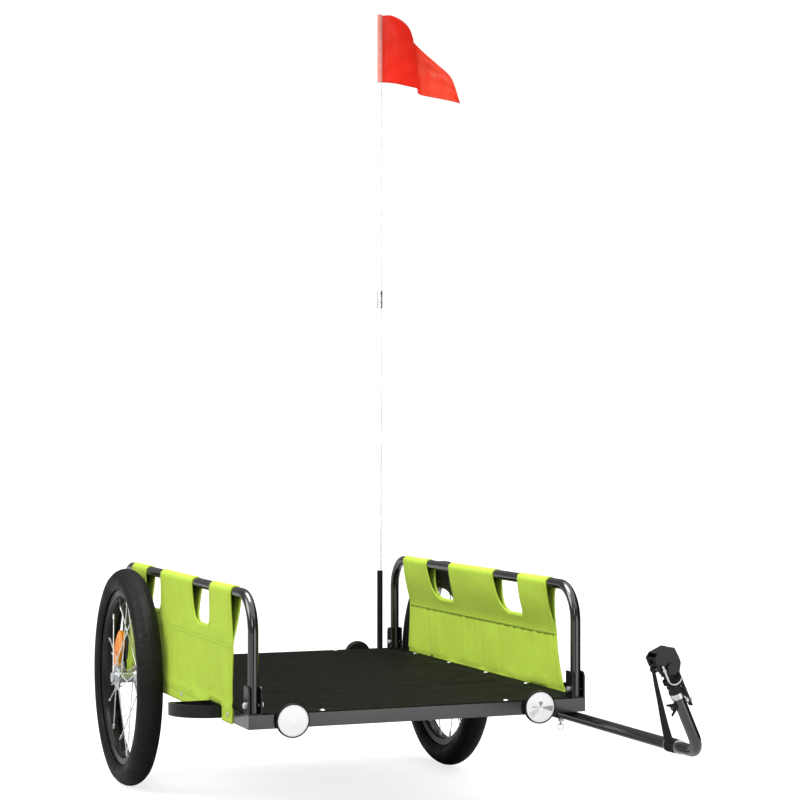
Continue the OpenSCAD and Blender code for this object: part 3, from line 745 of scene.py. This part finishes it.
def panel_seams(lo, hi, notches, ss, ends):
    """The lines of stitching: along the flap, inside each end, along the bottom and round the hand holes."""
    lines = []
    for z in SEAM_Z:
        for inner in (False, True):
            s = s_of(z, inner)
            lines.append([(panel_end(lo, z, 1) + 2, s), (panel_end(hi, z, -1) - 2, s)])
    for line, bow in ((lo, 1), (hi, -1)):
        lines.append([(panel_end(line, path_at(s)[1], bow) + bow * EDGE_STITCH, s)
                      for s in ss if 7 < s < END_S - 4])
    (y0, y1), (g0, g1), rail_s = ends, GUARD_GAP, s_of(GUARD_TOP)
    lines.append([(y0 + 6, HEM), (g0 - 12, HEM)])
    lines.append([(g0 - 12, 6.0), (g0 - 12, HEM), (g0 - 7, rail_s + 7), (g1 + 7, rail_s + 7),
                  (g1 + 12, HEM), (g1 + 12, 6.0)])
    lines.append([(g1 + 12, HEM), (WHEEL_Y - 20, HEM)])
    lines.append([(WHEEL_Y + 20, HEM), (y1 - 6, HEM)])
    off = NOTCH_STITCH
    for n0, n1 in notches:
        lines.append(notch_loop((n0 - off, n1 + off), (n0 - off, n1 - 3), off, (20, 46), 5.0))
    return lines


def make_panel(side, looks):
    """One cloth side panel, hung over its hoop's top tube and sewn to itself below it."""
    sign = 1 if side == "right" else -1
    lo, hi, notches = PANELS[side]
    cut, ss, ends = panel_cut(lo, hi, notches)
    coords = []
    for y, s in cut.flat:
        x, z = path_at(s)
        coords.append(at(sign * x, y, z))
    coords = np.array(coords)
    faces = cut.faces if sign > 0 else [tuple(reversed(f)) for f in cut.faces]
    panel = new_piece("side_panel_" + side, coords, faces, looks["side_cloth"], "frame")
    coords = drape_panel(panel, cut, coords, sign)
    thicken_panel(panel, cut)
    thread = stitch_piece("panel_stitching_" + side, cut, coords, panel_seams(lo, hi, notches, ss, ends),
                          looks["thread"], lift=0.00082)
    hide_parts(side + "_panel")


# ---------------------------------------------------------------- bed cloth
BED_HALF, BED_FRONT, BED_REAR, BED_Z = 286.0, 1.0, 889.0, 212.85    # mm
BED_CORNER = (23, 30)    # cut out round each hoop bracket
BED_HELD = (264, 24, 866)    # the cloth is screwed down outside this half width, front and rear
CROSS_BARS, CROSS_BAR_TOP = (310.0, 600.0), 0.21085    # places along the bed, and the cloth's lowest there (m)
BED_PITCH, BED_THICK = 12.0, 1.4


def make_bed(looks):
    half, y0, y1 = BED_HALF, BED_FRONT, BED_REAR
    cx, cy = BED_CORNER
    outline = [(-half, y0 + cy), (-half + cx, y0 + cy), (-half + cx, y0),
               (half - cx, y0), (half - cx, y0 + cy), (half, y0 + cy),
               (half, y1 - cy), (half - cx, y1 - cy), (half - cx, y1),
               (-half + cx, y1), (-half + cx, y1 - cy), (-half, y1 - cy)]
    cut = Cut(resample(outline, BED_PITCH), [], BED_PITCH)
    coords = np.array([at(x, y, BED_Z) for x, y in cut.flat])
    x, y = cut.flat[:, 0], cut.flat[:, 1]
    wide, front, rear = BED_HELD
    pin = ((abs(x) > wide) | (y < front) | (y > rear)).astype(float)
    bed = new_piece("bed_cloth", coords, cut.faces, looks["bed_cloth"], "frame")
    coords = simulate(bed, pin, 0.0045, slack=0.0012, bend=2.0, frames=22)
    free = (np.clip((wide - abs(x)) / 40, 0, 1) * np.clip((y - front) / 40, 0, 1)
            * np.clip((rear - y) / 40, 0, 1))
    crease = (0.5 * np.sin((x + 0.7 * y) / 33) * np.exp(-((x - 0.4 * y + 60) / 130) ** 2)
              + 0.4 * np.sin((x * 1.3 - 0.4 * y) / 41))
    coords[:, 2] += free * crease * MM
    for bar in CROSS_BARS:
        over = abs(y - bar) < 16
        coords[over, 2] = np.maximum(coords[over, 2], CROSS_BAR_TOP)
    bed.data.vertices.foreach_set("co", coords.astype(np.float32).ravel())
    bed.data.update()
    solid = bed.modifiers.new("thick", "SOLIDIFY")
    solid.thickness, solid.offset = BED_THICK * MM, 0.0
    apply_modifiers(bed)
    lines = [[(-half + 26, 25), (half - 26, 25)], [(-half + 26, 865), (half - 26, 865)],
             [(-half + 25, 34), (-half + 25, 856)], [(half - 25, 34), (half - 25, 856)]]
    thread = stitch_piece("bed_stitching", cut, coords, lines, looks["dark_thread"], lift=0.00075)
    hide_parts("bed_sheet", "bed_border")


# ---------------------------------------------------------------- flag
# columns along the flag: x and z of the top, x and z of the foot, and how far behind the pole, in mm
FLAG = [(4, 1510, 4, 1373, 0), (24, 1511, 20, 1372.5, -5), (43, 1504.5, 40, 1371, -9),
        (56, 1497, 58, 1368.5, -8), (66, 1486, 74, 1366.5, -4), (71, 1474, 84.5, 1365.5, 3),
        (72.5, 1470, 87, 1364, 9), (69, 1470, 83, 1358, 13), (73, 1464, 91, 1354, 15),
        (98, 1442, 112, 1351, 12), (126, 1420, 134, 1347.5, 5), (154, 1397, 158, 1343.5, -2),
        (166, 1375, 170, 1341.5, -4), (176.5, 1343, 177.5, 1340.2, -3)]
FLAG_FOLD = 88    # from the pole to the fold
FLAG_ROWS, FLAG_THICK = 34, 0.5
BEHIND = 0.418    # how far a point moves in x for each unit it lies behind the pole, along the view
SLEEVE_Z, SLEEVE_R, SLEEVE_SIDES = (1372.5, 1511), (5.2, 4.35), 28


def pole_axis():
    lo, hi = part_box("upper_pole")
    return (lo.x + hi.x) / 2, (lo.y + hi.y) / 2


def smooth_row(rows, n):
    """Catmull-Rom through rows of numbers, n steps between each pair."""
    p = np.array([rows[0]] + list(rows) + [rows[-1]], float)
    out = []
    for i in range(1, len(p) - 2):
        for t in np.arange(n) / n:
            out.append(0.5 * (2 * p[i] + (p[i + 1] - p[i - 1]) * t
                              + (2 * p[i - 1] - 5 * p[i] + 4 * p[i + 1] - p[i + 2]) * t * t
                              + (3 * p[i] - p[i - 1] - 3 * p[i + 1] + p[i + 2]) * t ** 3))
    out.append(p[-2])
    return np.array(out)


def flag_sleeve(px, py, looks):
    """The flag's hem round the pole: a slightly wrinkled tube with a wall."""
    verts, faces = [], []
    zs, n = np.linspace(*SLEEVE_Z, 40), SLEEVE_SIDES
    for r in SLEEVE_R:
        for z in zs:
            for a in np.linspace(0, 2 * math.pi, n + 1)[:-1]:
                rr = r + 0.12 * math.sin(z / 9 + 3 * a) + 0.1 * math.sin(z / 3.7)
                verts.append(Vector((px + rr * MM * math.cos(a), py + rr * MM * math.sin(a), z * MM)))
    m = len(zs) * n
    for k in (0, 1):
        for i in range(len(zs) - 1):
            for j in range(n):
                a, b = k * m + i * n, k * m + (i + 1) * n
                q = [a + j, a + (j + 1) % n, b + (j + 1) % n, b + j]
                faces.append(tuple(q if k == 0 else reversed(q)))
    for i in (0, len(zs) - 1):
        for j in range(n):
            a, b = i * n, m + i * n
            q = [a + j, a + (j + 1) % n, b + (j + 1) % n, b + j]
            faces.append(tuple(reversed(q) if i == 0 else q))
    return new_piece("flag_sleeve", verts, faces, looks["sleeve"], "flag_pole")


def make_flag(looks):
    px, py = pole_axis()
    cols = smooth_row(FLAG, 6)
    n = FLAG_ROWS
    verts = []
    for i, (xt, zt, xb, zb, dy) in enumerate(cols):
        u = i / (len(cols) - 1)
        for j in range(n + 1):
            v = j / n
            x, z = xb + (xt - xb) * v, zb + (zt - zb) * v
            ripple = (2.2 * math.sin(5.2 * v + 7 * u) + 1.1 * math.sin(11 * (v + 0.9 * u) + 1.0)
                      + 0.6 * math.sin(19 * (v - 1.3 * u)))
            y = dy * (0.75 + 0.25 * v) + min(1, u * 5) * ripple
            shift = BEHIND * y if u > 0.05 else 0
            verts.append(Vector((px + (x + shift) * MM, py + y * MM, z * MM)))
    w = n + 1
    faces = [(i * w + j, (i + 1) * w + j, (i + 1) * w + j + 1, i * w + j + 1)
             for i in range(len(cols) - 1) for j in range(n)]
    flag = new_piece("flag_cloth", verts, faces, looks["flag_vinyl"], "flag_pole")
    solid = flag.modifiers.new("thick", "SOLIDIFY")
    solid.thickness, solid.offset = FLAG_THICK * MM, 0.0
    apply_modifiers(flag)
    sleeve = flag_sleeve(px, py, looks)
    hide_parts("flag")


# ---------------------------------------------------------------- tyres
TYRE_RING, TYRE_R, TYRE_WALL = 0.177, 0.023, 0.0034    # metres
TYRE_AROUND, TYRE_SECTION, TYRE_INSIDE = 480, 64, 9    # points round the wheel, over the crown and inside
BEAD = math.radians(137)    # where the bead meets the rim, from the crown


def tread(i, b):
    """The tread's height at a point: a centre rib, grooves, and blocks towards the shoulders."""
    deg = abs(math.degrees(b))
    h = 0.0
    if deg < 50:
        h -= 0.0007 * math.exp(-((deg - 9) / 2.2) ** 2) + 0.0006 * math.exp(-((deg - 25) / 2.2) ** 2)
        if 11 < deg < 22 and (i + (3 if b > 0 else 0)) % 12 < 2:
            h -= 0.0005
        if 28 < deg < 50 and i % 8 < 2:
            h -= 0.0006
    if 57 < deg < 60 or 118 < deg < 122:
        h += 0.0005
    if 72 < deg < 74:
        h += 0.00025
    return h


def make_tyre(side, looks):
    c = wheel_centre(side)
    around, section = TYRE_AROUND, TYRE_SECTION
    verts = []
    for i in range(around):
        a = 2 * math.pi * i / around
        ring = []
        for j in range(section + 1):
            b = -BEAD + 2 * BEAD * j / section
            ring.append((TYRE_R + tread(i, b), b))
        ring += [(TYRE_R - TYRE_WALL, b) for b in np.linspace(BEAD, -BEAD, TYRE_INSIDE)]
        for r, b in ring:
            out, across = TYRE_RING + r * math.cos(b), r * math.sin(b)
            verts.append(Vector((c.x + across, c.y + out * math.cos(a), c.z + out * math.sin(a))))
    w = section + 1 + TYRE_INSIDE
    faces = [(i * w + j, i * w + (j + 1) % w, ((i + 1) % around) * w + (j + 1) % w, ((i + 1) % around) * w + j)
             for i in range(around) for j in range(w)]
    tyre = new_piece("tyre_" + side, verts, faces, looks["tyre"], side + "_wheel")
    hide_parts(side + "_tyre")


# ---------------------------------------------------------------- strap
BAR_X, BAR_Z, CRANK_Y = 278, 179, -411.6    # the drawbar's axis, and where its arm stands
ARM_TILT = math.radians(24)
# places along the strap, from the hitch to the bar: x, y, z, half width, half thickness, in mm
STRAP = [(199.4, -411.6, 307.2, 5.0, 1.5), (213, -396, 280, 7, 1.1), (229, -378, 250.5, 9, 0.9),
         (248, -355, 218, 12, 0.75), (268.2, -331.5, 186, 15.5, 0.7)]
STRAP_FOOT_Y = -331.5
BAR_LOOP, ARM_LOOP = (9.06, 11.0, 31), (11.12, 12.8, 7)    # inner radius, outer radius, length
LOOP_SIDES = 48


def rib(c):
    """The ribs across the webbing, c from -1 to 1."""
    return 0.12 * math.cos(c * math.pi * 6)


def webbing_loop(verts, faces, place, r0, r1, length):
    """Adds a loop of webbing, with ribs and rounded edges. place turns its (s, a, b) into a point."""
    base = len(verts)
    prof = [(-1, r0), (-1, r1 - 0.3)]
    prof += [(c, r1 + rib(c)) for c in np.linspace(-0.94, 0.94, 13)]
    prof += [(1, r1 - 0.3), (1, r0)]
    k = len(prof)
    for a in np.linspace(0, 2 * math.pi, LOOP_SIDES + 1)[:-1]:
        for c, rr in prof:
            verts.append(place(c * length / 2, rr * math.cos(a), rr * math.sin(a)))
    for i in range(LOOP_SIDES):
        near, far = base + i * k, base + ((i + 1) % LOOP_SIDES) * k
        for j in range(k):
            faces.append((near + j, near + (j + 1) % k, far + (j + 1) % k, far + j))


def on_bar(s, a, b):
    return at(BAR_X + a, STRAP_FOOT_Y + s, BAR_Z + b)


def on_arm(s, a, b):
    x, z = a, 119.5 + s
    return at(BAR_X + x * math.cos(ARM_TILT) - z * math.sin(ARM_TILT), CRANK_Y + b,
              BAR_Z + x * math.sin(ARM_TILT) + z * math.cos(ARM_TILT))


def make_strap(looks):
    """The safety strap: flat webbing with ribbed edges from the hitch to its loop round the bar."""
    rows = smooth_row(STRAP, 12)
    across = np.linspace(-1, 1, 13)
    verts, faces = [], []
    for x, y, z, w, t in rows:
        for side in (1, -1):
            for c in (across if side > 0 else across[::-1]):
                thick = t * (1 - 0.75 * abs(c) ** 8) + rib(c)
                verts.append(at(x - side * thick * 0.85, y + c * w, z + side * thick * 0.5))
    m = 2 * len(across)
    for i in range(len(rows) - 1):
        for j in range(m):
            faces.append((i * m + j, i * m + (j + 1) % m, (i + 1) * m + (j + 1) % m, (i + 1) * m + j))
    faces += [tuple(range(m - 1, -1, -1)), tuple((len(rows) - 1) * m + j for j in range(m))]
    webbing_loop(verts, faces, on_bar, *BAR_LOOP)
    webbing_loop(verts, faces, on_arm, *ARM_LOOP)
    strap = new_piece("safety_strap", verts, faces, looks["webbing"], "drawbar")
    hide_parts("strap")


# ---------------------------------------------------------------- put together
make_camera()
LOOKS = make_materials()
LOOKS["thread"] = cloth("panel_thread", (0.30, 0.44, 0.035), (0.26, 0.38, 0.03), ("Y", "Z"), 0.0005, 0.6)
LOOKS["dark_thread"] = cloth("bed_thread", (0.035, 0.035, 0.035), (0.02, 0.02, 0.02), ("X", "Y"), 0.0005, 0.6)
# the sleeve is painted paler pink than the flag: painted light of the white pole showing through the vinyl
LOOKS["sleeve"] = make_vinyl("sleeve_vinyl", (0.80, 0.20, 0.16), (0.85, 0.42, 0.36), 0.2)
make_studio()
for node in NODES.values():
    slot_name = node.data.materials[0].name.split(".")[0]
    node.data.materials[0] = LOOKS[slot_name].mat
NODES["hitch_bolt"].data.materials[0] = LOOKS["bracket_paint"].mat    # blackened
for side_name in ("left", "right"):
    NODES[side_name + "_spokes"].data.materials[0] = LOOKS["spoke_steel"].mat
    make_tyre(side_name, LOOKS)
for side_name in ("right", "left"):
    make_panel(side_name, LOOKS)
make_bed(LOOKS)
make_flag(LOOKS)
make_strap(LOOKS)
bpy.context.view_layer.update()
